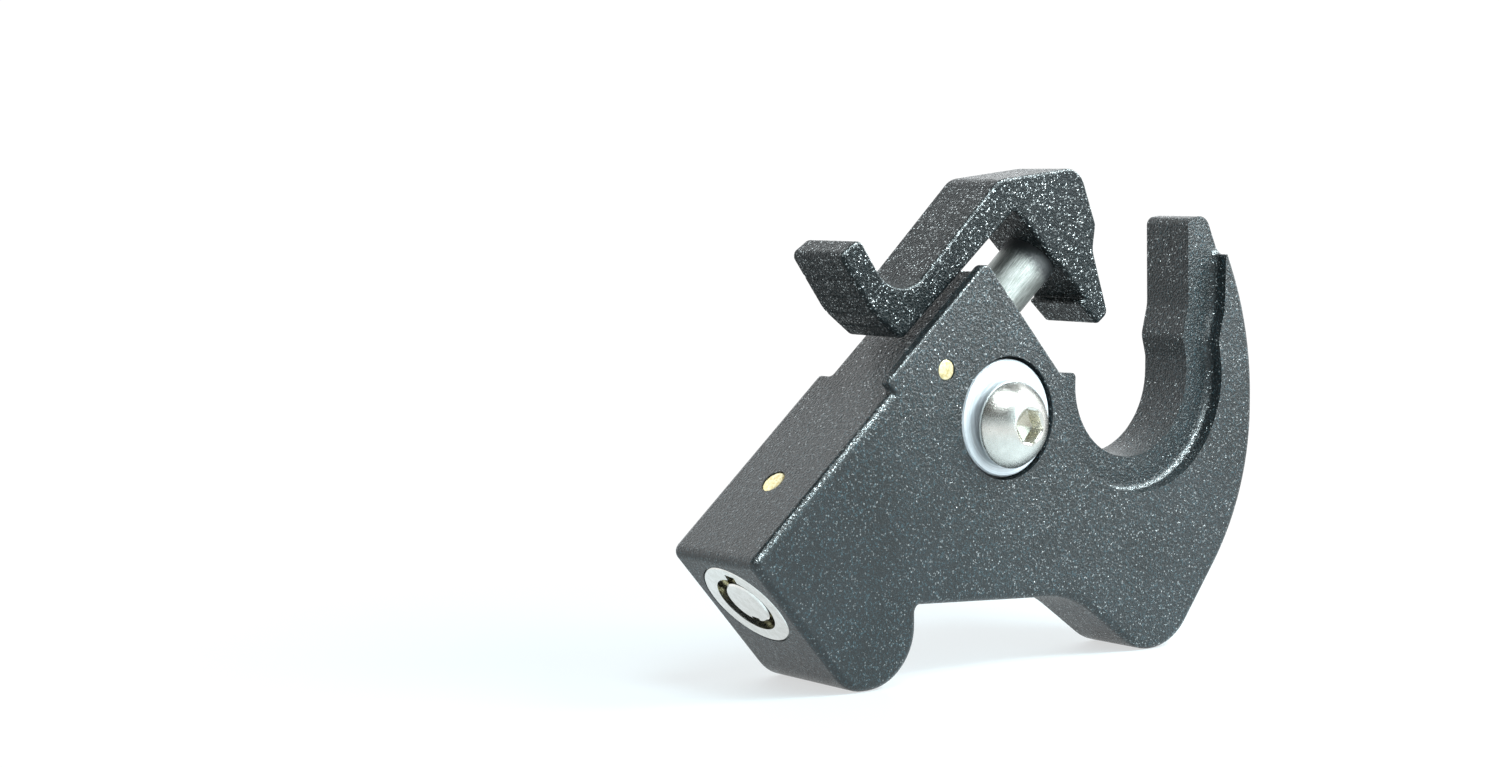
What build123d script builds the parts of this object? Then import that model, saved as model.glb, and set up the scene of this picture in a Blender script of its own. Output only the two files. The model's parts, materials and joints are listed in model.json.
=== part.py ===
from build123d import *
import math
import os

# Locking docking latch for a motorcycle luggage rack, in millimetres.
#
# The latch hangs on an M8 pivot bolt and its open hook drops over a docking post.  A spring-loaded
# lever on a sliding rod closes the hook, and a tubular lock on the rod's axis blocks the rod.
#
# Frame: the origin is on the pivot bolt's axis, in the rear mounting face.  +X points to the hook,
# +Y points out of the mounting face towards the rack, and +Z is up.

os.makedirs("parts", exist_ok=True)

# Thicknesses of the casting, measured from its outer face.
BLOCK_THICK = 21.0
BODY_THICK = 17.5
HOOK_THICK = 13.0
RECESS_DEPTH = 3.0
LIP_THICK = 2.2
LIP_HEIGHT = 2.1
EDGE_ROUND = 0.55
END_ROUND = 1.3
HOOK_ROUND = 1.3

# Pivot: an M8 button-head bolt in two flanged bushes, a little below the centre of the washer's pocket.
PIVOT_DROP = 0.95
BOLT_R = 3.95
THREAD_CHAMFER = 0.8
RELIEF_R = 3.2
RELIEF_LENGTH = 1.2
BOLT_LENGTH = 30.0
HEAD_R = 7.0
HEAD_HEIGHT = 4.4
HEAD_RIM = 0.6
HEAD_FLAT_R = 3.15
HEAD_DOME = 2.96
HEAD_DOME_R = 5.3
HEX_ACROSS = 5.0
HEX_DEPTH = 2.6
HEX_TURN = 20
PIVOT_HOLE_R = 4.1
FLANGE_THICK = 0.75
FLANGE_R = 8.8
BUSH_R = 6.0
REAR_FLANGE_R = 8.6
BUSH_BARREL = 2.6
REAR_BARREL = 1.6
POCKET_R = 9.9
POCKET_DEPTH = 2.4
WASHER_R = 9.4
WASHER_HOLE_R = 5.2
WASHER_THICK = 1.2
WASHER_DEPTH = 0.35
SPACER_R = 6.1
SPACER_THICK = 1.1
SLIDE_GAP = 0.05
FACE_GAP = 0.05

# Hook: the seat for the docking post.
HOOK_X = 30.5
HOOK_Z = 5.2
SEAT_R = 13.5
HOOK_BACK = 57.5

# Lock and rod share one axis, inclined to the horizontal.
AXIS_ANGLE = 41.5
AXIS_DEPTH = 10.5
LOCK_X = -44.5
LOCK_Z = -27.0
TUNNEL_HALF = 10.5
TUNNEL_BOTTOM = 12.4
BOSS_DROP = 11.6
BOSS_R = 11.0
FOOT_X = -17.5
BLOCK_LENGTH = 39.2
LIP_START = 36.9
TUNNEL_LENGTH = 64.4
TRAVEL = 11.5

# Tubular lock, measured along the axis from the end face.
HOUSING_R = 8.2
HOUSING_LENGTH = 19.2
KEYWAY_R = 5.5
KEYWAY_DEPTH = 6.2
CORE_R = 7.0
POST_R = 4.1
POST_START = 0.25
SHAFT_R = 2.2
SHEAR_LINE = 9.7
SHEAR_GAP = 0.05
STATOR_END = 18.2
PIN_CIRCLE_R = 4.8
PIN_R = 0.65
PIN_HOLE_R = 0.7
PIN_COUNT = 8
KEY_PIN_START = 2.6
DRIVER_LENGTH = 3.2
SPRING_HOLE_END = 16.9
CLIP_START = 18.3
CLIP_THICK = 0.6
CLIP_R = 3.2
CLIP_GROOVE_R = 1.7
NECK_R = 1.4
TENON_R = 1.0
TAIL_START = 27.8
TAIL_THICK = 3.0
TAIL_WIDTH = 5.8
TAIL_DEPTH = 2.6

# Rod, return spring and their stops.
ROD_R = 4.5
ROD_START = 31.2
ROD_SHOULDER = 79.5
SPIGOT_R = 3.5
SPIGOT_END = 88.0
KEEPER_R = 3.5
KEEPER_LENGTH = 2.5
KEEPER_SLOT_WIDTH = 6.2
KEEPER_SLOT_HEIGHT = 3.0
ROD_POCKET = 12.0
CHAMBER_R = 6.7
CHAMBER_END = 38.5
SEAT_THICK = 0.9
SEAT_HOLE_R = 4.8
COLLAR_R = 6.4
COLLAR_START = 37.4
COLLAR_THICK = 1.0
COLLAR_GROOVE_R = 4.0
SPRING_R = 5.6
SPRING_WIRE_R = 0.45
SPRING_TURNS = 4.5
ROD_HOLE_R = 4.6
GUIDE_R = 5.5
GUIDE_HOLE_R = 4.55
GUIDE_START = 56.0

# Brass pins.
DOWEL_R = 1.7
LOCK_PIN_R = 2.1
STOP_PIN_S = 46.9
STOP_PIN_H = 5.6
LOCK_PIN_S = 16.3
LOCK_PIN_BOTTOM = 5.9
ROD_FLAT_H = 3.85
ROD_FLAT_START = 45.1
ROD_FLAT_END = 60.2

# Lever.
LEVER_DEPTH = 4.5
LEVER_WIDTH = 12.6
LEVER_ROUND = 0.7
GROOVE_R = 0.5
GROOVE_POINTS = [(-28.3, 22.5), (-26.1, 19.3), (-23.8, 16.7), (-21.4, 14.6)]

OUTER_Y = -(BODY_THICK + FACE_GAP + FLANGE_THICK)


def direction(angle):
    """Unit vector in the XZ plane at an angle above +X."""
    return Vector(math.cos(math.radians(angle)), 0, math.sin(math.radians(angle)))


ALONG = direction(AXIS_ANGLE)
ACROSS = direction(AXIS_ANGLE + 90)
LOCK_CENTRE = Vector(LOCK_X, OUTER_Y + AXIS_DEPTH, LOCK_Z + PIVOT_DROP)
# Local frame of the lock and rod: z runs along the axis, y square to it, x towards the rack.
AXIS = Plane(origin=LOCK_CENTRE, x_dir=(0, 1, 0), z_dir=ALONG)


def on_axis(s, h):
    """(x, z) from the pocket's centre of a point s along the lock axis and h above it."""
    point = Vector(LOCK_X, 0, LOCK_Z) + ALONG * s + ACROSS * h
    return point.X, point.Z


def outline(corners):
    """Closed face from (x, z, corner radius) triples, measured from the centre of the washer's pocket."""
    points = [(x, z) for x, z, _ in corners]
    radii = [radius for _, _, radius in corners]
    return make_face(FilletPolyline(*points, radius=radii, close=True))


def slab(face, start, end):
    """Face in (x, z) made solid between two depths below the outer face."""
    plane = Plane((0, OUTER_Y + start, PIVOT_DROP), x_dir=(1, 0, 0), z_dir=(0, -1, 0))
    return extrude(plane * face, amount=-(end - start))


def strip(s_from, s_to, h_from, h_to):
    """Face in (x, z) of a rectangle laid along the lock axis."""
    corners = [on_axis(s_from, h_from), on_axis(s_to, h_from), on_axis(s_to, h_to), on_axis(s_from, h_to)]
    return make_face(Polyline(*corners, close=True))


def disc(x, z, radius):
    """Round face in (x, z)."""
    return Pos(x, z) * Circle(radius)


def rod_piece(radius, start, end):
    """Cylinder on the local z axis between two stations."""
    return Pos(0, 0, (start + end) / 2) * Cylinder(radius, end - start)


def bar(width, height, start, end):
    """Rectangular bar on the local z axis between two stations."""
    return Pos(0, 0, (start + end) / 2) * Box(width, height, end - start)


def turned(radius, depth_from, depth_to):
    """Cylinder on the pivot axis between two depths."""
    return slab(disc(0, -PIVOT_DROP, radius), depth_from, depth_to)


def ring_of(solid, radius):
    """Copies of a solid at equal steps round the local z axis."""
    return [Rot(0, 0, 360 / PIN_COUNT * i) * Pos(radius, 0) * solid for i in range(PIN_COUNT)]


def round_edges(solid, edges, radius):
    """Fillet edge chains one after another, keeping what the kernel can do."""
    for edge in edges:
        middle = edge.center()
        match = [e for e in solid.edges() if (e.center() - middle).length < 0.01]
        if not match:
            continue
        try:
            rounded = fillet(match[0], radius)
        except (ValueError, StopIteration):
            continue
        if rounded.is_valid and len(rounded.solids()) == 1:
            solid = rounded
    return solid


def body_outline():
    """Side view of the whole casting, clockwise from the top of the end face."""
    wall = HOOK_X + SEAT_R
    seat_bottom = HOOK_Z - SEAT_R
    return outline([
        (*on_axis(0, TUNNEL_HALF), 1.6),
        (*on_axis(TUNNEL_LENGTH, TUNNEL_HALF), 0.8),
        (*on_axis(TUNNEL_LENGTH, -TUNNEL_BOTTOM), 1.0),
        (HOOK_X - SEAT_R + 0.9, 6.3, 0.9),
        (HOOK_X - SEAT_R, seat_bottom, SEAT_R - 1.0),
        (wall, seat_bottom, SEAT_R - 0.01),
        (wall, 7.6, 3.0),
        (wall - 1.0, 11.3, 3.0),
        (wall + 0.3, 16.5, 5.0),
        (wall, 31.3, 1.5),
        (48.3, 31.9, 2.6),
        (HOOK_BACK, 12.1, 54.0),
        (HOOK_BACK, -16.1, 44.0),
        (35.9, -44.7, 10.2),
        (15.4, -30.1, 20.0),
        (-18.9, -28.3, 1.2),
        (-18.7, -40.8, 9.5),
        (-32.3, -40.8, 7.0),
    ])


def recess_outline():
    """Part of the side view that lies lower around the hook's seat."""
    left = HOOK_X - 18.0
    right = HOOK_X + 19.0
    bottom = HOOK_Z - 19.3
    return outline([
        (left, 40.0, 1.0),
        (left, bottom, 17.9),
        (right, bottom, 18.9),
        (right, 5.7, 3.0),
        (right - 0.8, 10.5, 3.0),
        (right + 0.6, 16.0, 4.0),
        (right + 0.7, 25.2, 0.4),
        (right + 2.4, 25.2, 1.8),
        (right + 6.4, 17.0, 0.5),
        (right + 12.0, 17.0, 1.0),
        (right + 12.0, 40.0, 1.0),
    ])


def everywhere_but(*kept):
    """Large face in (x, z) with the kept shapes cut out of it."""
    field = Rectangle(300, 300)
    for shape in kept:
        field -= shape
    return field


def make_body():
    """Outside of the casting: a plate cut back behind the hook, the web and the rod tunnel."""
    lip = outline([
        (*on_axis(LIP_START, TUNNEL_HALF - 3), 0.2),
        (*on_axis(LIP_START, TUNNEL_HALF + LIP_HEIGHT), 0.5),
        (*on_axis(TUNNEL_LENGTH, TUNNEL_HALF + LIP_HEIGHT), 1.6),
        (*on_axis(TUNNEL_LENGTH, TUNNEL_HALF - 3), 0.2),
    ])
    body = slab(body_outline() + lip, 0, BLOCK_THICK)
    above_lip = strip(LIP_START - 5, TUNNEL_LENGTH + 5, TUNNEL_HALF, TUNNEL_HALF + 8)
    body -= slab(above_lip, LIP_THICK, BLOCK_THICK + 1)
    foot = Pos(FOOT_X - 40, -45) * Rectangle(80, 60)
    tunnel = strip(-5, TUNNEL_LENGTH + 5, -BOSS_DROP, 20)
    block = strip(-5, BLOCK_LENGTH, -BOSS_DROP, 20)
    body -= slab(everywhere_but(tunnel, foot, disc(0, -PIVOT_DROP, BOSS_R)), HOOK_THICK, BLOCK_THICK + 1)
    body -= slab(everywhere_but(block, foot), BODY_THICK, BLOCK_THICK + 1)
    body -= slab(recess_outline(), -1, RECESS_DEPTH)
    return body


def soften_body(body):
    """Round the casting's outer edges, apart from the seams of its own corners."""
    end_face = [e for e in body.edges() if abs((e.center() - LOCK_CENTRE).dot(ALONG)) < 0.01 and e.length > 3.0]
    body = round_edges(body, end_face, END_ROUND)
    recess_y = OUTER_Y + RECESS_DEPTH
    recess_floor = [e for e in body.edges() if abs(e.center().Y - recess_y) < 0.01 and abs((e % 0.5).Y) < 0.1]
    body = round_edges(body, [e for e in recess_floor if e.length > 3.0], HOOK_ROUND)
    picked = [e for e in body.edges() if e.length > 3.0 and abs((e % 0.5).Y) < 0.9]
    return round_edges(body, picked, EDGE_ROUND)


def cut_body(body):
    """Machine every hole in the casting."""
    hollow = rod_piece(HOUSING_R, -2, HOUSING_LENGTH)
    hollow += rod_piece(CHAMBER_R, HOUSING_LENGTH, CHAMBER_END)
    hollow += rod_piece(ROD_HOLE_R, CHAMBER_END, TUNNEL_LENGTH + 2)
    hollow += rod_piece(GUIDE_R, GUIDE_START, TUNNEL_LENGTH + 2)
    body -= AXIS * hollow
    body -= AXIS * lock_pin()
    body -= stop_pin()
    body -= turned(PIVOT_HOLE_R, -1, BLOCK_THICK + 1)
    body -= slab(disc(0, 0, POCKET_R), -1, POCKET_DEPTH)
    body -= turned(BUSH_R + SLIDE_GAP, 0, POCKET_DEPTH + BUSH_BARREL + 0.1)
    body -= turned(BUSH_R + SLIDE_GAP, BODY_THICK - REAR_BARREL - 0.2, BODY_THICK + 1)
    return body


def stop_pin():
    """Cross pin whose lower side runs in the flat on the rod."""
    x, z = on_axis(STOP_PIN_S, STOP_PIN_H)
    return slab(disc(x, z, DOWEL_R), 0, BODY_THICK)


def lock_pin():
    """Radial pin that holds the lock, in the axis frame."""
    length = TUNNEL_HALF - LOCK_PIN_BOTTOM
    middle = (TUNNEL_HALF + LOCK_PIN_BOTTOM) / 2
    return Pos(0, middle, LOCK_PIN_S) * Rot(90, 0, 0) * Cylinder(LOCK_PIN_R, length)


def make_lever():
    """Lever with its finger tab, arm and closing nose."""
    side = outline([
        (-18.3, 12.8, 1.6),
        (-24.3, 17.3, 9.0),
        (-30.9, 26.3, 1.2),
        (-26.9, 28.9, 1.3),
        (-19.0, 17.8, 6.2),
        (2.1, 37.9, 4.0),
        (20.1, 40.0, 4.0),
        (23.9, 30.5, 1.5),
        (23.3, 26.3, 4.0),
        (26.9, 15.7, 1.4),
        (24.5, 13.9, 0.8),
        (20.3, 17.6, 0.3),
        (21.5, 18.3, 0.3),
        (5.6, 33.1, 0.8),
    ])
    lever = slab(side, LEVER_DEPTH, LEVER_DEPTH + LEVER_WIDTH)
    sides = [e for e in lever.edges() if abs(e.length - LEVER_WIDTH) > 0.1]
    lever = round_edges(lever, sides, LEVER_ROUND)
    for x, z in GROOVE_POINTS:
        lever -= slab(disc(x, z, GROOVE_R), 0, BLOCK_THICK)
    lever -= AXIS * (rod_piece(ROD_R, 60, ROD_SHOULDER) + rod_piece(SPIGOT_R, 70, SPIGOT_END))
    return lever


def make_rod():
    """Sliding rod: hollow inner end, flat for the stop pin, spigot for the lever."""
    rod = rod_piece(ROD_R, ROD_START, ROD_SHOULDER)
    rod += rod_piece(SPIGOT_R, ROD_SHOULDER, SPIGOT_END)
    rod -= rod_piece(KEEPER_R, ROD_START, ROD_START + ROD_POCKET)
    flat = bar(2 * ROD_R, ROD_R, ROD_FLAT_START, ROD_FLAT_END)
    rod -= Pos(0, ROD_FLAT_H + ROD_R / 2, 0) * flat
    groove = rod_piece(ROD_R + 1, COLLAR_START, COLLAR_START + COLLAR_THICK)
    rod -= groove - rod_piece(COLLAR_GROOVE_R, COLLAR_START, COLLAR_START + COLLAR_THICK)
    return rod


def make_keeper():
    """Slotted insert in the rod's inner end that the lock's tail passes or blocks."""
    end = ROD_START + KEEPER_LENGTH
    keeper = rod_piece(KEEPER_R, ROD_START, end)
    return keeper - bar(KEEPER_SLOT_HEIGHT, KEEPER_SLOT_WIDTH, ROD_START, end)


def make_collar():
    """Snap ring on the rod that the spring pushes."""
    end = COLLAR_START + COLLAR_THICK
    ring = rod_piece(COLLAR_R, COLLAR_START, end) - rod_piece(COLLAR_GROOVE_R, COLLAR_START, end)
    return ring - Pos(0, -COLLAR_R, 0) * bar(3.0, 2 * COLLAR_R, COLLAR_START, end)


def make_spring():
    """Return spring round the rod, at its length with the hook closed."""
    start = HOUSING_LENGTH + SEAT_THICK + SPRING_WIRE_R + 0.02
    height = COLLAR_START - SPRING_WIRE_R - 0.02 - start
    path = Helix(pitch=height / SPRING_TURNS, height=height, radius=SPRING_R)
    section = Plane(path @ 0, z_dir=path % 0) * Circle(SPRING_WIRE_R)
    return Pos(0, 0, start) * sweep(section, path=path, is_frenet=True)


def make_housing():
    """Nickel lock sleeve with the round keyway and its locating notch."""
    housing = rod_piece(HOUSING_R, 0, HOUSING_LENGTH)
    housing = chamfer(housing.edges().sort_by(Axis.Z)[0], 0.3)
    housing -= rod_piece(KEYWAY_R, 0, KEYWAY_DEPTH)
    housing -= rod_piece(CORE_R, KEYWAY_DEPTH, HOUSING_LENGTH)
    notch = Pos(0, KEYWAY_R, 0) * bar(2.0, 2.4, 0, 4.0)
    housing -= Rot(0, 0, 12) * notch
    return housing - lock_pin()


def make_spindle():
    """Centre post, shaft and neck that carry the lock's tail."""
    spindle = rod_piece(POST_R, POST_START, KEYWAY_DEPTH + SHEAR_GAP)
    spindle = chamfer(spindle.edges().sort_by(Axis.Z)[0], 0.25)
    spindle += rod_piece(SHAFT_R, KEYWAY_DEPTH + SHEAR_GAP, CLIP_START + CLIP_THICK + 0.1)
    spindle += rod_piece(NECK_R, STATOR_END, TAIL_START)
    spindle += rod_piece(TENON_R, TAIL_START, TAIL_START + TAIL_THICK)
    groove = rod_piece(SHAFT_R + 1, CLIP_START, CLIP_START + CLIP_THICK)
    spindle -= groove - rod_piece(CLIP_GROOVE_R, CLIP_START, CLIP_START + CLIP_THICK)
    return spindle - Rot(0, 0, 192) * Pos(0, POST_R, 0) * bar(1.6, 1.6, 0, KEYWAY_DEPTH)


def make_plug():
    """Turning disc behind the keyway that carries the key pins."""
    start = KEYWAY_DEPTH + SHEAR_GAP
    plug = rod_piece(CORE_R - SLIDE_GAP, start, SHEAR_LINE) - rod_piece(SHAFT_R, start, SHEAR_LINE)
    return plug - ring_of(rod_piece(PIN_HOLE_R, start, SHEAR_LINE), PIN_CIRCLE_R)


def make_stator():
    """Fixed pin block behind the plug."""
    start = SHEAR_LINE + SHEAR_GAP
    stator = rod_piece(CORE_R, start, STATOR_END)
    stator -= rod_piece(SHAFT_R + SLIDE_GAP, start, STATOR_END)
    stator -= ring_of(rod_piece(PIN_HOLE_R, start, SPRING_HOLE_END), PIN_CIRCLE_R)
    return stator - lock_pin()


def make_tail():
    """Cross bar riveted on the spindle's end."""
    end = TAIL_START + TAIL_THICK
    return bar(TAIL_DEPTH, TAIL_WIDTH, TAIL_START, end) - rod_piece(TENON_R, TAIL_START, end)


def make_clip():
    """Retaining clip at the back of the lock."""
    end = CLIP_START + CLIP_THICK
    clip = rod_piece(CLIP_R, CLIP_START, end) - rod_piece(CLIP_GROOVE_R, CLIP_START, end)
    return clip - Pos(0, -CLIP_R, 0) * bar(2.0, 2 * CLIP_R, CLIP_START, end)


def make_bolt():
    """M8 button-head screw with a hexagon socket, and a relief groove where its threaded end starts."""
    under = WASHER_DEPTH - SPACER_THICK
    top = under - HEAD_HEIGHT
    rim = under - HEAD_RIM
    end = under + BOLT_LENGTH
    profile = Polyline((0, top), (HEAD_FLAT_R, top))
    profile += ThreePointArc((HEAD_FLAT_R, top), (HEAD_DOME_R, under - HEAD_DOME), (HEAD_R, rim))
    profile += Polyline((HEAD_R, rim), (HEAD_R - 0.15, under), (BOLT_R, under), (BOLT_R, end - THREAD_CHAMFER))
    profile += Polyline((BOLT_R, end - THREAD_CHAMFER), (BOLT_R - THREAD_CHAMFER, end), (0, end), (0, top))
    bolt = Pos(0, OUTER_Y, 0) * revolve(make_face(profile), axis=Axis.Y)
    relief = (-OUTER_Y - RELIEF_LENGTH, -OUTER_Y)
    bolt -= turned(BOLT_R + 1, *relief) - turned(RELIEF_R, *relief)
    socket = Pos(0, -PIVOT_DROP) * Rot(0, 0, HEX_TURN) * RegularPolygon(HEX_ACROSS / 2, 6, major_radius=False)
    return bolt - slab(socket, top - 1, top + HEX_DEPTH)


def make_spacer():
    """Wave washer squeezed between bolt head and washer, drawn flat."""
    under = WASHER_DEPTH - SPACER_THICK
    return turned(SPACER_R, under, WASHER_DEPTH) - turned(PIVOT_HOLE_R, under, WASHER_DEPTH)


def make_washer():
    """Loose flat washer in the casting's pocket."""
    end = WASHER_DEPTH + WASHER_THICK
    washer = slab(disc(0, 0, WASHER_R), WASHER_DEPTH, end)
    washer = chamfer(washer.edges().sort_by(Axis.Y)[0], 0.25)
    return washer - slab(disc(0, 0, WASHER_HOLE_R), WASHER_DEPTH, end)


def make_outer_bush():
    """Flanged bush in the pocket."""
    start = WASHER_DEPTH + WASHER_THICK
    bush = turned(FLANGE_R, start, start + FLANGE_THICK)
    bush += turned(BUSH_R, start, POCKET_DEPTH + BUSH_BARREL)
    return bush - turned(PIVOT_HOLE_R, start, POCKET_DEPTH + BUSH_BARREL)


def make_rear_bush():
    """Flanged bush whose flange is the mounting face."""
    flange_start = BODY_THICK + FACE_GAP
    start = BODY_THICK - REAR_BARREL
    bush = turned(REAR_FLANGE_R, flange_start, flange_start + FLANGE_THICK)
    bush += turned(BUSH_R, start, flange_start)
    return bush - turned(PIVOT_HOLE_R, start, flange_start + FLANGE_THICK)


def make_pins(start, end):
    """Ring of pins for the lock."""
    return ring_of(rod_piece(PIN_R, start, end), PIN_CIRCLE_R)


def make_driver_springs(start):
    """Ring of sleeves that stand for the coil springs behind the driver pins."""
    sleeve = rod_piece(PIN_R - 0.05, start, SPRING_HOLE_END) - rod_piece(0.35, start, SPRING_HOLE_END)
    return ring_of(sleeve, PIN_CIRCLE_R)


driver_start = SHEAR_LINE + SHEAR_GAP + 0.01
driver_end = driver_start + DRIVER_LENGTH
guide = rod_piece(GUIDE_R, GUIDE_START, TUNNEL_LENGTH) - rod_piece(GUIDE_HOLE_R, GUIDE_START, TUNNEL_LENGTH)
seat_end = HOUSING_LENGTH + SEAT_THICK
seat = rod_piece(CHAMBER_R, HOUSING_LENGTH, seat_end) - rod_piece(SEAT_HOLE_R, HOUSING_LENGTH, seat_end)

on_lock_axis = {
    "lock_housing": [make_housing()],
    "lock_stator": [make_stator()],
    "lock_plug": [make_plug()],
    "lock_spindle": [make_spindle()],
    "lock_tail": [make_tail()],
    "spindle_clip": [make_clip()],
    "key_pins": make_pins(KEY_PIN_START, SHEAR_LINE),
    "driver_pins": make_pins(driver_start, driver_end),
    "driver_springs": make_driver_springs(driver_end),
    "lock_retaining_pin": [lock_pin()],
    "latch_rod": [make_rod()],
    "rod_keeper": [make_keeper()],
    "rod_guide_bush": [guide],
    "spring_seat": [seat],
    "spring_collar": [make_collar()],
    "return_spring": [make_spring()],
}

nodes = {
    "body_casting": [cut_body(soften_body(make_body()))],
    "latch_lever": [make_lever()],
    "rod_stop_pin": [stop_pin()],
    "mounting_bolt": [make_bolt()],
    "wave_washer": [make_spacer()],
    "outer_washer": [make_washer()],
    "outer_bush": [make_outer_bush()],
    "rear_bush": [make_rear_bush()],
}
nodes.update({name: [AXIS * piece for piece in pieces] for name, pieces in on_lock_axis.items()})

for name, pieces in nodes.items():
    solids = [solid for piece in pieces for solid in piece.solids()]
    export_step(Compound(children=solids), f"parts/{name}.step")
    print(name, len(solids), round(sum(solid.volume for solid in solids), 1))
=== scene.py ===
import json
import math

import bmesh
import bpy
from mathutils import Euler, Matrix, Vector, noise

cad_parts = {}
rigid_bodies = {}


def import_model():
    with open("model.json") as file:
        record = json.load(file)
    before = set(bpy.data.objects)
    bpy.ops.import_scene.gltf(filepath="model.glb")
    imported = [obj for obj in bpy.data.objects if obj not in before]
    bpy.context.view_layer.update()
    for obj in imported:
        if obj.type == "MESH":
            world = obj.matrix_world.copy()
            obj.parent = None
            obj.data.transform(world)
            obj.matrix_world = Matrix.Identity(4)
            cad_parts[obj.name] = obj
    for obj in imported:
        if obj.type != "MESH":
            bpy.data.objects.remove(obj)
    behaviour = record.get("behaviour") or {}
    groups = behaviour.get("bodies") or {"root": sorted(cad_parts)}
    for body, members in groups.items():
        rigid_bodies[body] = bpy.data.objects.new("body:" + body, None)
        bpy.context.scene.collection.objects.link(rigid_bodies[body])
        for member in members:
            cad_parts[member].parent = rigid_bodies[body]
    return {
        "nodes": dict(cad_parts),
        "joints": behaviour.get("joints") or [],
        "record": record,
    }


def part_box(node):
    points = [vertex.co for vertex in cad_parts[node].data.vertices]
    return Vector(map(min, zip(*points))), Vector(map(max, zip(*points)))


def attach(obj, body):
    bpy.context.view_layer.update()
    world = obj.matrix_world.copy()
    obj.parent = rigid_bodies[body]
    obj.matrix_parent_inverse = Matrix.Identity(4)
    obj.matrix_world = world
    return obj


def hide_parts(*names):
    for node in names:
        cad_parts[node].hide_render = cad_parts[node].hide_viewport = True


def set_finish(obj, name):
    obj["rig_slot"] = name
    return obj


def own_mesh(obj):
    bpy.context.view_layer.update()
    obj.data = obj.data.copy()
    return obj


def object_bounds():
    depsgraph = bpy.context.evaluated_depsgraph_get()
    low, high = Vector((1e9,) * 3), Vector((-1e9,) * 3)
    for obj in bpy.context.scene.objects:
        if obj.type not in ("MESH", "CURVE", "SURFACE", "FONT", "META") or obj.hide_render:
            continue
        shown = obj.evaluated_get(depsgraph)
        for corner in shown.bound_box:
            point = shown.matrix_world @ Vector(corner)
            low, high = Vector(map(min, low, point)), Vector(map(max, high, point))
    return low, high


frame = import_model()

CAD_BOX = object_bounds()
MM = 0.001
TAU = 2 * math.pi

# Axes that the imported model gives: the pivot along +Y through the origin, and the lock and rod.
JOINTS = {joint["name"]: joint for joint in frame["joints"]}
LOCK_CENTRE = Vector(JOINTS["lock_turn"]["pos_m"])
ALONG = Vector(JOINTS["lock_turn"]["axis"]).normalized()
SIDE = Vector((0, 1, 0))
ACROSS = ALONG.cross(SIDE)
FLOOR_Z = CAD_BOX[0].z

# The button-head screw.
HEX_ACROSS = 5.0 * MM
HEX_TURN = math.radians(20)
SOCKET_DEPTH = 2.6 * MM
SOCKET_RING = 3.15 * MM
HEAD_RIM = 0.6 * MM
THREAD_R = 3.95 * MM
THREAD_PITCH = 1.25 * MM
THREAD_DEPTH = 0.7 * MM
RELIEF_R = 3.2 * MM
RELIEF_LENGTH = 1.2 * MM

# The springs: wire radii, and how the sprung washer is cut.
STRIP_THICK = 0.35 * MM
STRIP_INNER = 4.2 * MM
STRIP_CORNER = 0.07 * MM
RETURN_WIRE = 0.45 * MM
DRIVER_WIRE = 0.09 * MM
DRIVER_COIL_R = 0.6 * MM
DRIVER_COUNT = 8

# The camera, and the light that each part of the room gives.
CAMERA_PLACE = Vector((-290.9, -329.9, 39.05)) * MM
CAMERA_TURN = math.radians(37.5)
CAMERA_DOWN = math.radians(4.4)
CAMERA_LENS = 64.18
VIEW_AHEAD = (math.sin(CAMERA_TURN), math.cos(CAMERA_TURN), 0)
PLAIN_WHITE = (1.05, 1.05, 1.05, 1)
SWEEP_LOW = (1.88, 1.92, 1.94, 1)
SWEEP_HIGH = (0.14, 0.14, 0.13, 1)
ROOM_LOW = (0.98, 1.14, 1.20, 1)
ROOM_HIGH = (0.12, 0.12, 0.115, 1)
FLOOR_SIZE = 6.0
# Centre of the floor's painted dark reflection behind the latch.
DARK_REFLECTION_CENTRE = (0.0, 0.075, 0.0)


# ---------------------------------------------------------------- materials

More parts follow.
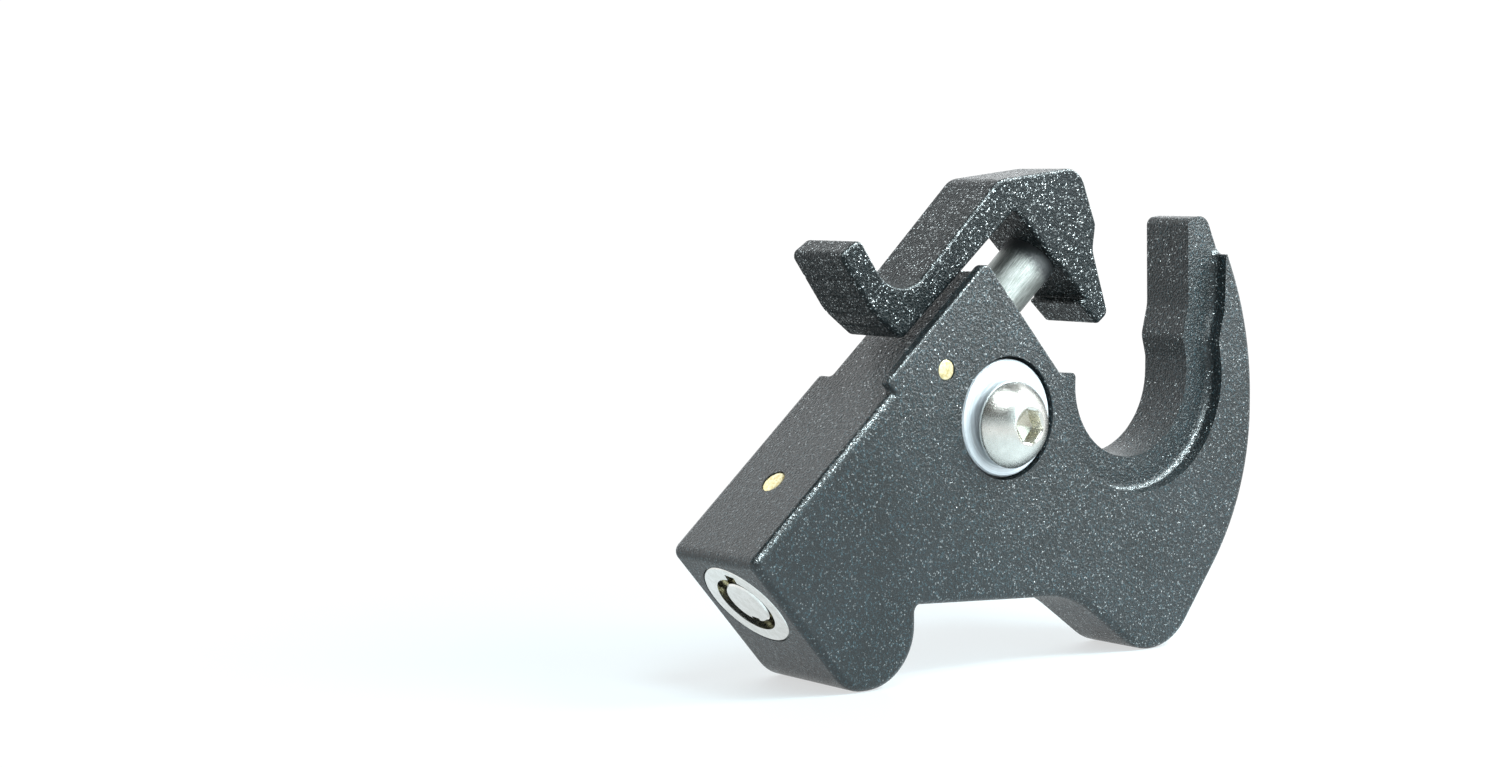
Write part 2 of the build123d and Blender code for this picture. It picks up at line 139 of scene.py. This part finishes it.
class Look:
    """A node material under construction. Its base coordinates are object space in millimetres."""

    def __init__(self, name, **shader):
        self.material = bpy.data.materials.new(name)
        self.material.use_nodes = True
        self.tree = self.material.node_tree
        self.shader = self.tree.nodes["Principled BSDF"]
        for socket, value in shader.items():
            self.set(socket.replace("_", " "), value)
        place = self.add("ShaderNodeTexCoord").outputs["Object"]
        self.mm = self.add("ShaderNodeMapping", Vector=place, Scale=(1 / MM,) * 3).outputs[0]

    def add(self, kind, settings=None, **inputs):
        """Add a node; settings are its properties, and inputs are values or sockets to link."""
        node = self.tree.nodes.new(kind)
        for key, value in (settings or {}).items():
            setattr(node, key, value)
        for key, value in inputs.items():
            self.plug(node.inputs[key.replace("_", " ")], value)
        return node

    def plug(self, socket, value):
        if isinstance(value, bpy.types.NodeSocket):
            self.tree.links.new(value, socket)
        else:
            socket.default_value = value

    def set(self, socket, value):
        self.plug(self.shader.inputs[socket], value)

    def math(self, operation, first, second=0.0):
        node = self.add("ShaderNodeMath", {"operation": operation})
        self.plug(node.inputs[0], first)
        self.plug(node.inputs[1], second)
        return node.outputs[0]

    def ramp(self, value, low, high, to_low=0.0, to_high=1.0):
        """Smooth step of a value between two levels."""
        node = self.add("ShaderNodeMapRange", {"interpolation_type": "SMOOTHSTEP"}, Value=value)
        levels = {"From Min": low, "From Max": high, "To Min": to_low, "To Max": to_high}
        for key, number in levels.items():
            node.inputs[key].default_value = number
        return node.outputs[0]

    def mix(self, factor, first, second):
        """Blend two colours."""
        node = self.add("ShaderNodeMix", {"data_type": "RGBA"})
        self.plug(node.inputs[0], factor)
        self.plug(node.inputs[6], first)
        self.plug(node.inputs[7], second)
        return node.outputs[2]

    def noise(self, scale, detail=2.0, roughness=0.5, place=None):
        """Noise with features of about 1 / scale millimetres, between 0 and 1."""
        settings = {"Scale": scale, "Detail": detail, "Roughness": roughness}
        return self.add("ShaderNodeTexNoise", Vector=place or self.mm, **settings).outputs["Fac"]

    def stretched(self, direction, factor):
        """Coordinates drawn out along a direction, for brushed and drawn metal."""
        turn = Vector(direction).rotation_difference(Vector((0, 0, 1))).to_euler()
        turned = self.add("ShaderNodeMapping", Vector=self.mm, Rotation=turn)
        return self.add("ShaderNodeMapping", Vector=turned.outputs[0], Scale=(1, 1, 1 / factor)).outputs[0]

    def radius(self, centre, axis):
        """Distance from an axis in millimetres."""
        offset = self.vector("SUBTRACT", self.mm, Vector(centre) / MM).outputs[0]
        crossed = self.vector("CROSS_PRODUCT", offset, axis).outputs[0]
        return self.vector("LENGTH", crossed).outputs["Value"]

    def station(self):
        """Distance along the lock axis from the lock's centre, in millimetres."""
        along = self.vector("DOT_PRODUCT", self.mm, ALONG).outputs["Value"]
        return self.math("SUBTRACT", along, LOCK_CENTRE.dot(ALONG) / MM)

    def highlight_rims(self):
        """1 along the middle of the rounded rims that face up, between outline and flat sides: where the
        painted highlight line goes.
        """
        facing = self.add("ShaderNodeTexCoord").outputs["Normal"]
        parts = self.add("ShaderNodeSeparateXYZ", Vector=facing).outputs
        sideways = self.math("ABSOLUTE", parts["Y"])
        middle = self.math("MULTIPLY", self.ramp(sideways, 0.40, 0.60), self.ramp(sideways, 0.93, 0.80))
        return self.math("MULTIPLY", middle, self.ramp(parts["Z"], 0.10, 0.35))

    def vector(self, operation, *inputs):
        """A vector sum; each input is a socket to link or three numbers."""
        node = self.add("ShaderNodeVectorMath", {"operation": operation})
        for socket, value in zip(node.inputs, inputs):
            self.plug(socket, value)
        return node

    def bump(self, height, depth_mm, strength=1.0):
        node = self.add("ShaderNodeBump", Height=height, Distance=depth_mm * MM, Strength=strength)
        self.set("Normal", node.outputs[0])


def grey(level, tint=(1, 1, 1)):
    return (level * tint[0], level * tint[1], level * tint[2], 1)


def sown_flakes(look, sown_above):
    """Share of flake at each place, from ragged cells, and each cell's random colour."""
    ragged = look.add("ShaderNodeTexNoise", Vector=look.mm, Scale=4.0, Detail=1.0).outputs["Color"]
    bent = look.vector("MULTIPLY_ADD", ragged, (0.35, 0.35, 0.35), look.mm).outputs[0]
    cells = look.add("ShaderNodeTexVoronoi", Vector=bent, Scale=3.0)
    colour = cells.outputs["Color"]
    chance = look.add("ShaderNodeSeparateColor", Color=colour).outputs[0]
    dot = look.ramp(cells.outputs["Distance"], 0.48, 0.24)
    return look.math("MULTIPLY", dot, look.ramp(chance, sown_above, sown_above + 0.15)), colour


def leaning(look, normal, colour, share):
    """A normal tilted by a random colour, as far as share says."""
    tilt = look.vector("MULTIPLY_ADD", colour, (1.0, 1.0, 1.0), (-0.5, -0.5, -0.5)).outputs[0]
    scaled = look.vector("SCALE", tilt)
    look.plug(scaled.inputs["Scale"], share)
    leant = look.vector("ADD", normal, scaled.outputs[0]).outputs[0]
    return look.vector("NORMALIZE", leant).outputs[0]


def powder_coat(name, sown_above, depth, sheen, crest_colour):
    """Black sandy powder coat: glinting lumps, painted shade in the pits between them, metallic flakes, and
    a thin metallic coat on rims that face up as a painted highlight line.

    Flakes lie where a random share exceeds sown_above. The coat is smoother and plainer towards the lock.
    """
    look = Look(name, Specular_IOR_Level=sheen)
    sandy = look.ramp(look.station(), 12, 50, 0.36, 1.0)
    grain = look.noise(2.6, 2.0, 0.6)
    fine = look.noise(5.5, 1.0, 0.5)
    patches = look.ramp(look.noise(0.06, 3, 0.6), 0.35, 0.65)
    # Base lighter on the grain's crests and darker in its pits: the pits' darkness is painted shade; the
    # patches are random tone.
    shaded_pit_tone = look.mix(patches, (0.008, 0.012, 0.013, 1), (0.014, 0.019, 0.021, 1))
    crest_over_shaded_pit = look.math("MULTIPLY", look.ramp(grain, 0.50, 0.66), look.ramp(fine, 0.40, 0.62))
    base = look.mix(crest_over_shaded_pit, shaded_pit_tone, crest_colour)

    sown, colour = sown_flakes(look, sown_above)
    # Thin metallic coat on the rims that face up only: partly worn coat, partly a painted highlight line.
    thin_coat_highlight = look.math("MULTIPLY", look.highlight_rims(), look.ramp(fine, 0.42, 0.56))
    flakes_and_rim_highlight = look.math("MAXIMUM", look.math("MULTIPLY", sown, sandy), look.math("MULTIPLY", thin_coat_highlight, 0.8))
    look.set("Base Color", look.mix(flakes_and_rim_highlight, base, (0.50, 0.55, 0.56, 1)))
    look.set("Metallic", flakes_and_rim_highlight)
    look.set("Roughness", look.mix(flakes_and_rim_highlight, look.ramp(grain, 0.3, 0.7, 0.38, 0.25), grey(0.16)))
    surface = look.add("ShaderNodeBump", Height=grain, Distance=depth * MM, Strength=sandy).outputs[0]
    look.set("Normal", leaning(look, surface, colour, flakes_and_rim_highlight))
    return look.material


def satin_steel(name, colour, roughness, metallic=1.0):
    """Turned steel with a satin grain: the look, its colour so far and its speckle."""
    look = Look(name, Metallic=metallic)
    blotch = look.noise(0.5, 4, 0.6)
    speckle = look.noise(5.5, 3, 0.7)
    clean = look.mix(look.ramp(blotch, 0.3, 0.7), grey(0.86, colour), grey(1, colour))
    look.set("Roughness", look.ramp(speckle, 0.3, 0.75, roughness * 0.8, roughness * 1.25))
    return look, clean, speckle


def stainless_steel():
    """The screw: satin all over, with a painted beige reflection in its socket."""
    look, clean, speckle = satin_steel("stainless_steel", (0.74, 0.74, 0.70), 0.26)
    flat = HEX_ACROSS / MM / 2
    # Painted reflection: the socket's walls are tinted beige.
    socket_reflection = look.ramp(look.radius((0, 0, 0), SIDE), flat + 0.25, flat - 0.1)
    look.set("Base Color", look.mix(socket_reflection, clean, (0.60, 0.58, 0.49, 1)))
    look.bump(speckle, 0.032)
    return look.material


def zinc_steel():
    """The loose washer: zinc with rings of tool marks."""
    colour = (0.83, 0.90, 0.95)
    look, clean, speckle = satin_steel("zinc_steel", colour, 0.40, 0.55)
    low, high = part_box("outer_washer")
    distance = look.radius((low + high) / 2, SIDE)
    settings = {"noise_dimensions": "1D"}
    marks = look.add("ShaderNodeTexNoise", settings, W=distance, Scale=2.2, Detail=3.0).outputs["Fac"]
    look.set("Base Color", look.mix(look.ramp(marks, 0.42, 0.58), grey(0.78, colour), clean))
    look.bump(look.math("ADD", look.math("MULTIPLY", speckle, 0.25), marks), 0.05)
    return look.material


def rod_steel():
    """Ground rod with lengthwise scratches, and dark overspray next to the lever."""
    look = Look("rod_steel")
    lines = look.noise(5.0, 4, 0.7, look.stretched(ALONG, 14))
    cross = look.noise(2.5, 3, 0.7)
    shoulder = span(("latch_rod",))[1] / MM - 8.5
    ragged = look.math("ADD", look.station(), look.math("MULTIPLY", cross, 3.0))
    paint = look.ramp(ragged, shoulder - 3.6, shoulder - 1.2)
    steel = look.mix(look.ramp(lines, 0.3, 0.7), (0.15, 0.162, 0.155, 1), (0.33, 0.352, 0.337, 1))
    look.set("Base Color", look.mix(paint, steel, (0.03, 0.034, 0.036, 1)))
    look.set("Metallic", look.math("SUBTRACT", 1.0, paint))
    look.set("Roughness", look.ramp(lines, 0.2, 0.8, 0.42, 0.58))
    look.bump(look.math("ADD", lines, look.math("MULTIPLY", cross, 0.8)), 0.06)
    return look.material


def bright_nickel():
    """Plated lock parts: bright, a little warm, with soft waviness."""
    look = Look("bright_nickel", Metallic=1.0)
    wave = look.noise(0.8, 2, 0.5)
    speckle = look.noise(6.0, 3, 0.6)
    share = look.ramp(wave, 0.3, 0.7)
    look.set("Base Color", look.mix(share, (0.76, 0.77, 0.74, 1), (0.86, 0.87, 0.85, 1)))
    look.set("Roughness", look.ramp(speckle, 0.3, 0.8, 0.13, 0.24))
    look.bump(look.math("ADD", wave, look.math("MULTIPLY", speckle, 0.2)), 0.02, 0.6)
    return look.material


def brass():
    """Cut and hammered brass."""
    look = Look("brass", Metallic=1.0)
    dents = look.noise(1.6, 3, 0.6)
    scratches = look.noise(6.0, 3, 0.7)
    share = look.ramp(dents, 0.35, 0.65)
    look.set("Base Color", look.mix(share, (0.66, 0.56, 0.27, 1), (0.95, 0.88, 0.58, 1)))
    look.set("Roughness", look.ramp(scratches, 0.2, 0.8, 0.28, 0.45))
    look.bump(look.math("ADD", dents, look.math("MULTIPLY", scratches, 0.3)), 0.06, 0.8)
    return look.material


def bearing_bronze():
    """Sintered bronze with oil-dark pores."""
    look = Look("bearing_bronze", Metallic=1.0)
    pores = look.noise(5.0, 3, 0.7)
    share = look.ramp(pores, 0.38, 0.5)
    look.set("Base Color", look.mix(share, (0.10, 0.06, 0.03, 1), (0.55, 0.37, 0.20, 1)))
    look.set("Roughness", look.ramp(pores, 0.3, 0.7, 0.6, 0.4))
    look.bump(pores, 0.02, 0.7)
    return look.material


def spring_steel():
    """Oil-blackened wire and strip with drawing lines."""
    look = Look("spring_steel", Metallic=1.0)
    lines = look.noise(5.0, 3, 0.6)
    share = look.ramp(lines, 0.3, 0.7)
    look.set("Base Color", look.mix(share, (0.20, 0.21, 0.23, 1), (0.42, 0.43, 0.46, 1)))
    look.set("Roughness", look.ramp(lines, 0.3, 0.8, 0.3, 0.45))
    look.bump(lines, 0.01, 0.6)
    return look.material


def nylon():
    """Black moulded nylon with a fine grain."""
    look = Look("nylon")
    grain = look.noise(4.0, 2, 0.5)
    share = look.ramp(grain, 0.3, 0.7)
    look.set("Base Color", look.mix(share, (0.018, 0.018, 0.020, 1), (0.032, 0.032, 0.034, 1)))
    look.set("Roughness", look.ramp(grain, 0.3, 0.7, 0.42, 0.55))
    look.bump(grain, 0.01, 0.6)
    return look.material


# ---------------------------------------------------------------- geometry helpers

def span(nodes):
    """Start and end along the lock axis, and the largest radius round it, of CAD nodes, in metres."""
    points = [v.co - LOCK_CENTRE for node in nodes for v in frame["nodes"][node].data.vertices]
    stations = [point.dot(ALONG) for point in points]
    radii = [(point - ALONG * point.dot(ALONG)).length for point in points]
    return min(stations), max(stations), max(radii)


def axis_point(station, radius=0.0, angle=0.0):
    """A point of the lock's own cylinder coordinates, in metres; angle 0 is towards the rack."""
    return LOCK_CENTRE + ALONG * station + (SIDE * math.cos(angle) + ACROSS * math.sin(angle)) * radius


def pivot_point(depth, radius=0.0, angle=0.0):
    """A point round the pivot at a Y, in metres."""
    return Vector((radius * math.cos(angle), depth, radius * math.sin(angle)))


def skin(rings, closed=False):
    """Points and faces of a surface through rings of equal length, capped at both ends unless closed."""
    count = len(rings[0])
    points = [point for ring in rings for point in ring]
    faces = []
    last = len(rings) if closed else len(rings) - 1
    for i in range(last):
        for j in range(count):
            k = (j + 1) % count
            after = (i + 1) % len(rings)
            faces.append((i * count + j, i * count + k, after * count + k, after * count + j))
    if not closed:
        faces.append(tuple(reversed(range(count))))
        faces.append(tuple(range((len(rings) - 1) * count, len(rings) * count)))
    return points, faces


def piece(name, surfaces, body, slot, replaces, sharp=35):
    """Make one object from closed surfaces and hand it to the frame."""
    points, faces = [], []
    for part_points, part_faces in surfaces:
        start = len(points)
        points += part_points
        faces += [tuple(start + i for i in face) for face in part_faces]
    mesh = bpy.data.meshes.new(name)
    mesh.from_pydata([tuple(point) for point in points], [], faces)
    outward(mesh)
    mesh.polygons.foreach_set("use_smooth", [True] * len(mesh.polygons))
    mesh.set_sharp_from_angle(angle=math.radians(sharp))
    made = bpy.data.objects.new(name, mesh)
    bpy.context.scene.collection.objects.link(made)
    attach(made, body)
    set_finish(made, slot)
    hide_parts(replaces)
    return made


def outward(mesh):
    """Turn every face to look out of its closed surface."""
    edit = bmesh.new()
    edit.from_mesh(mesh)
    bmesh.ops.recalc_face_normals(edit, faces=edit.faces)
    edit.to_mesh(mesh)
    edit.free()


def around(count):
    return [TAU * i / count for i in range(count)]


SCREW_ANGLES = around(120)


# ---------------------------------------------------------------- pieces

def hexagon(angle):
    """Radius of the socket's hexagon at an angle."""
    step = TAU / 6
    turned = (angle - HEX_TURN + step / 2) % step - step / 2
    return HEX_ACROSS / 2 / math.cos(turned)


def pivot_ring(radius, depth):
    return [pivot_point(depth, radius, angle) for angle in SCREW_ANGLES]


def socket_rings(top):
    """The hexagon socket, from the middle of its floor out to the flat ring round it."""
    floor = top + SOCKET_DEPTH
    cut = [(0.86, floor + 0.1 * MM), (0.985, floor), (1.0, floor - 0.12 * MM)]
    cut += [(1.0, top + 0.34 * MM), (1.025, top + 0.24 * MM)]
    rings = [pivot_ring(0.2 * MM, floor + 0.75 * MM)]
    for scale, depth in cut:
        rings.append([pivot_point(depth, hexagon(angle) * scale, angle) for angle in SCREW_ANGLES])
    return rings + [pivot_ring(SOCKET_RING - 0.25 * MM, top + 0.03 * MM), pivot_ring(SOCKET_RING, top)]


def dome_rings(head_r, top, rim, steps=26):
    """The head's sphere, from the ring round the socket to the rim."""
    centre = (head_r ** 2 - SOCKET_RING ** 2 + rim ** 2 - top ** 2) / (2 * (rim - top))
    dome = math.hypot(head_r, rim - centre)
    first, last = math.asin(SOCKET_RING / dome), math.asin(head_r / dome)
    turns = [first + (last - first) * i / steps for i in range(1, steps + 1)]
    return [pivot_ring(dome * math.sin(turn), centre - dome * math.cos(turn)) for turn in turns]


def shank_rings(head_r, under):
    """The underside of the head, the plain shank and the relief groove."""
    slope = 0.6 * (THREAD_R - RELIEF_R)
    return [
        pivot_ring(head_r - 0.03 * MM, under - 0.14 * MM),
        pivot_ring(head_r - 0.15 * MM, under),
        pivot_ring(THREAD_R + 0.25 * MM, under),
        pivot_ring(THREAD_R + 0.05 * MM, under + 0.05 * MM),
        pivot_ring(THREAD_R, under + 0.3 * MM),
        pivot_ring(THREAD_R, -RELIEF_LENGTH),
        pivot_ring(RELIEF_R, slope - RELIEF_LENGTH),
        pivot_ring(RELIEF_R, -slope),
        pivot_ring(THREAD_R, -0.02 * MM),
    ]


def thread_rings(end, samples=14):
    """The cut thread, which runs in over its first turn and is chamfered at its end."""
    rings = []
    for i in range(int(end / THREAD_PITCH * samples) + 1):
        depth = min(i / samples * THREAD_PITCH, end)
        run_in = min(depth / THREAD_PITCH, 1)
        chamfer = THREAD_R - 0.9 * MM + (end - depth)
        row = []
        for angle in SCREW_ANGLES:
            phase = (depth / THREAD_PITCH - angle / TAU) % 1
            flank = min(max((abs(phase - 0.5) * 2 - 0.15) / 0.7, 0), 1)
            row.append(pivot_point(depth, min(THREAD_R - THREAD_DEPTH * flank * run_in, chamfer), angle))
        rings.append(row)
    return rings + [pivot_ring(THREAD_R - 0.95 * MM, end)]


def make_screw():
    """Button-head screw: spherical head with a hexagon socket, plain shank, relief groove and thread."""
    low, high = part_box("mounting_bolt")
    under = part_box("wave_washer")[0].y
    rings = socket_rings(low.y) + dome_rings(high.x, low.y, under - HEAD_RIM)
    rings += shank_rings(high.x, under) + thread_rings(high.y)
    return piece("button_head_screw", [skin(rings)], "pivot", "stainless_steel", "mounting_bolt")


def make_wave_washer():
    """Spring washer with three waves, in the space the squeezed one takes."""
    low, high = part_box("wave_washer")
    middle = (low.y + high.y) / 2
    swing = (high.y - low.y - STRIP_THICK) / 2
    inner, outer = STRIP_INNER, high.x
    near = [inner, inner + STRIP_CORNER, outer - STRIP_CORNER, outer]
    section = [(r, -1) for r in near] + [(r, 1) for r in reversed(near)]
    rings = []
    for angle in around(144):
        wave = middle + swing * math.cos(3 * angle)
        row = []
        for r, side in section:
            half = STRIP_THICK / 2 - (STRIP_CORNER if r in (inner, outer) else 0)
            row.append(pivot_point(wave + side * half, r, angle))
        rings.append(row)
    surface = skin(rings, closed=True)
    return piece("sprung_washer", [surface], "pivot", "spring_steel", "wave_washer")


def peened_pin(name, start, end, radius, body, replaces):
    """Brass pin with hammered, slightly domed ends."""
    length = end - start
    direction = length.normalized()
    across = direction.orthogonal().normalized()
    third = direction.cross(across)
    angles = around(56)
    shrink = radius - 0.01 * MM

    def ring(distance, share, seed):
        row = []
        for angle in angles:
            spoke = (across * math.cos(angle) + third * math.sin(angle)) * shrink * share
            dent = noise.noise(Vector((spoke / MM) * 1.1) + Vector((seed, seed, 0))) * 0.07 * MM
            inward = 1 if distance < length.magnitude / 2 else -1
            fade = min((1 - share) * 5, 1)
            row.append(start + spoke + direction * (distance + inward * (abs(dent) * fade)))
        return row

    dome = [(0.02, 0.05), (0.02, 0.3), (0.03, 0.5), (0.05, 0.7), (0.08, 0.84), (0.14, 0.93), (0.26, 1.0)]
    rings = [ring(depth * MM, share, 3.7) for depth, share in dome]
    rings += [ring(length.magnitude - depth * MM, share, 8.1) for depth, share in reversed(dome)]
    return piece(name, [skin(rings)], body, "brass", replaces, sharp=50)


def make_pins():
    """The two brass pins that show in the casting."""
    low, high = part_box("rod_stop_pin")
    middle = (low + high) / 2
    near, far = Vector((middle.x, low.y, middle.z)), Vector((middle.x, high.y, middle.z))
    peened_pin("stop_pin_brass", near, far, (high.x - low.x) / 2, "casting", "rod_stop_pin")
    low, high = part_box("lock_retaining_pin")
    middle = (low + high) / 2
    radius = (high.y - low.y) / 2
    half = ACROSS * (span_across("lock_retaining_pin") / 2)
    peened_pin("lock_pin_brass", middle + half, middle - half, radius, "casting", "lock_retaining_pin")


def span_across(node):
    """Length of a CAD node square to the lock axis, in its slanted plane."""
    heights = [v.co.dot(ACROSS) for v in frame["nodes"][node].data.vertices]
    return max(heights) - min(heights)


def coil(centre, start, end, radius, wire, turns, closed_turns=1.0, sides=10, per_turn=24):
    """Compression spring along the lock axis with closed ends: its tube's points and faces."""
    count = int(turns * per_turn)
    solid = 2 * wire * closed_turns
    active = turns - 2 * closed_turns
    rise = (end - start) - 2 * wire - 2 * solid
    rings = []
    for i in range(count + 1):
        turn = i / per_turn
        if turn < closed_turns:
            height = 2 * wire * turn
        elif turn > turns - closed_turns:
            height = solid + rise + 2 * wire * (turn - turns + closed_turns)
        else:
            height = solid + rise * (turn - closed_turns) / active
        angle = TAU * turn
        spoke = SIDE * math.cos(angle) + ACROSS * math.sin(angle)
        middle = centre + ALONG * (start + wire + height) + spoke * radius
        thick = wire * 0.98
        rings.append([middle + (spoke * math.cos(a) + ALONG * math.sin(a)) * thick for a in around(sides)])
    return skin(rings)


def make_springs():
    """Return spring round the rod and the small springs behind the driver pins."""
    start, end, outer = span(("return_spring",))
    wound = coil(LOCK_CENTRE, start, end, outer - RETURN_WIRE, RETURN_WIRE, 6.5)
    made = piece("return_coil", [wound], "casting", "spring_steel", "return_spring", sharp=60)
    squeeze(made)
    start, end, outer = span(("driver_springs",))
    radius = DRIVER_COIL_R - DRIVER_WIRE
    surfaces = []
    for angle in around(DRIVER_COUNT):
        centre = axis_point(0, outer - DRIVER_COIL_R, angle)
        surfaces.append(coil(centre, start, end, radius, DRIVER_WIRE, 11, 1.5, sides=6, per_turn=14))
    made = piece("driver_coils", surfaces, "casting", "spring_steel", "driver_springs", sharp=70)
    squeeze(made)


def squeeze(spring):
    """Give a spring a mesh of its own."""
    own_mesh(spring)


# ---------------------------------------------------------------- stage

def make_floor():
    """Pale table top that glows white further out.

    A dark patch behind the latch, which only reflections meet, is a painted dark reflection that stands for
    a second latch there.
    """
    corners = [(-1, -1), (1, -1), (1, 1), (-1, 1)]
    points = [(x * FLOOR_SIZE, y * FLOOR_SIZE, FLOOR_Z) for x, y in corners]
    mesh = bpy.data.meshes.new("floor")
    mesh.from_pydata(points, [], [(0, 1, 2, 3)])
    floor = bpy.data.objects.new("floor", mesh)
    bpy.context.scene.collection.objects.link(floor)
    look = Look("floor", Roughness=0.6)
    glow = look.ramp(look.radius((0, 0, 0), (0, 0, 1)), 40, 200, 0.6, 1.0)
    # Painted reflection: near black for reflected rays behind the latch, white to the camera.
    reflection_patch = look.ramp(look.radius(DARK_REFLECTION_CENTRE, (0, 0, 1)), 75, 30)
    unseen = look.math("SUBTRACT", 1.0, look.add("ShaderNodeLightPath").outputs["Is Camera Ray"])
    painted_dark_reflection = look.math("MULTIPLY", reflection_patch, unseen)
    strength = look.ramp(painted_dark_reflection, 0, 1, 1.05, 0.0)
    look.set("Base Color", look.mix(painted_dark_reflection, (0.68, 0.88, 0.95, 1), grey(0.02)))
    light = look.add("ShaderNodeEmission", Color=(1, 1, 1, 1), Strength=strength)
    both = look.add("ShaderNodeMixShader")
    look.plug(both.inputs[0], glow)
    look.plug(both.inputs[1], look.shader.outputs[0])
    look.plug(both.inputs[2], light.outputs[0])
    look.plug(look.tree.nodes["Material Output"].inputs["Surface"], both.outputs[0])
    mesh.materials.append(look.material)


def make_world():
    """White sweep behind the table, a dimmer room behind the camera; the camera itself sees plain white."""
    world = bpy.data.worlds.new("studio")
    bpy.context.scene.world = world
    world.use_nodes = True
    tree = world.node_tree
    tree.nodes.clear()
    link = tree.links.new

    def make(kind, settings=None, **inputs):
        node = tree.nodes.new(kind)
        for key, value in (settings or {}).items():
            setattr(node, key, value)
        for key, value in inputs.items():
            socket = node.inputs[key.replace("_", " ")]
            if isinstance(value, bpy.types.NodeSocket):
                link(value, socket)
            else:
                socket.default_value = value
        return node

    def step(value, low, high):
        settings = {"interpolation_type": "SMOOTHSTEP"}
        return make("ShaderNodeMapRange", settings, Value=value, From_Min=low, From_Max=high).outputs[0]

    def blend(factor, first, second):
        node = make("ShaderNodeMix", {"data_type": "RGBA"})
        link(factor, node.inputs[0])
        for socket, value in ((node.inputs[6], first), (node.inputs[7], second)):
            if isinstance(value, bpy.types.NodeSocket):
                link(value, socket)
            else:
                socket.default_value = value
        return node.outputs[2]

    place = make("ShaderNodeTexCoord").outputs["Generated"]
    height = make("ShaderNodeSeparateXYZ", Vector=place).outputs["Z"]
    ahead = make("ShaderNodeVectorMath", {"operation": "DOT_PRODUCT"})
    link(place, ahead.inputs[0])
    ahead.inputs[1].default_value = VIEW_AHEAD
    behind = step(ahead.outputs["Value"], -0.15, 0.45)
    sweep = blend(step(height, 0.62, 0.82), SWEEP_LOW, SWEEP_HIGH)
    room = blend(step(height, 0.02, 0.32), ROOM_LOW, ROOM_HIGH)
    seen = make("ShaderNodeLightPath").outputs["Is Camera Ray"]
    shade = blend(seen, blend(behind, room, sweep), PLAIN_WHITE)
    background = make("ShaderNodeBackground", Color=shade)
    make("ShaderNodeOutputWorld", Surface=background.outputs[0])


def softbox(name, direction, distance, size, power, colour):
    """Square area light that looks at the latch from a direction, and that the camera doesn't see."""
    light = bpy.data.lights.new(name, "AREA")
    light.shape = "SQUARE"
    light.size = size
    light.energy = power
    light.color = colour
    lamp = bpy.data.objects.new(name, light)
    bpy.context.scene.collection.objects.link(lamp)
    towards = Vector(direction).normalized()
    lamp.location = towards * distance
    lamp.rotation_euler = towards.to_track_quat("Z", "Y").to_euler()
    lamp.visible_camera = False


def make_camera():
    """Long lens, slightly above the table, looking along the hook side of the latch."""
    data = bpy.data.cameras.new("camera")
    data.sensor_width = 36
    data.lens = CAMERA_LENS
    data.clip_start = 0.01
    camera = bpy.data.objects.new("camera", data)
    camera.location = CAMERA_PLACE
    camera.rotation_euler = Euler((math.pi / 2 - CAMERA_DOWN, 0, -CAMERA_TURN))
    bpy.context.scene.collection.objects.link(camera)
    bpy.context.scene.camera = camera


# ---------------------------------------------------------------- the scene

CASTING_COAT = {"sown_above": 0.78, "depth": 0.28, "sheen": 0.5, "crest_colour": (0.044, 0.082, 0.098, 1)}
LEVER_COAT = {"sown_above": 0.58, "depth": 0.42, "sheen": 0.15, "crest_colour": (0.018, 0.030, 0.034, 1)}
MATERIALS = {
    "black_powder_coat": powder_coat("powder_coat", **CASTING_COAT),
    "stainless_steel": stainless_steel(),
    "zinc_steel": zinc_steel(),
    "spring_steel": spring_steel(),
    "rod_steel": rod_steel(),
    "bright_nickel": bright_nickel(),
    "brass": brass(),
    "bearing_bronze": bearing_bronze(),
    "nylon": nylon(),
}

make_screw()
make_wave_washer()
make_pins()
make_springs()

OWN_LOOK = {"latch_lever": powder_coat("sandy_coat", **LEVER_COAT)}
SLOT_OF = {part["node"]: part["material_slot"] for part in frame["record"]["subparts"]}
for node, thing in frame["nodes"].items():
    thing.data.materials.clear()
    thing.data.materials.append(OWN_LOOK.get(node) or MATERIALS[SLOT_OF[node]])
for thing in bpy.data.objects:
    if thing.type == "MESH" and not thing.data.materials:
        thing.data.materials.append(MATERIALS[thing["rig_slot"]])

make_floor()
make_world()
COOL = (0.92, 1.0, 1.02)
softbox("key_right", (0.58, -0.54, 0.60), distance=0.30, size=0.14, power=0.85, colour=COOL)
softbox("overhead", (-0.17, -0.45, 0.875), distance=0.30, size=0.13, power=0.55, colour=COOL)
softbox("sparkle", (0.50, -0.68, 0.54), distance=0.13, size=0.03, power=0.07, colour=(0.96, 1.0, 1.0))
softbox("front_strip", (0.25, -0.90, 0.34), distance=0.9, size=0.5, power=2.6, colour=(0.80, 1.0, 1.06))
make_camera()
bpy.context.scene.view_settings.view_transform = "Standard"
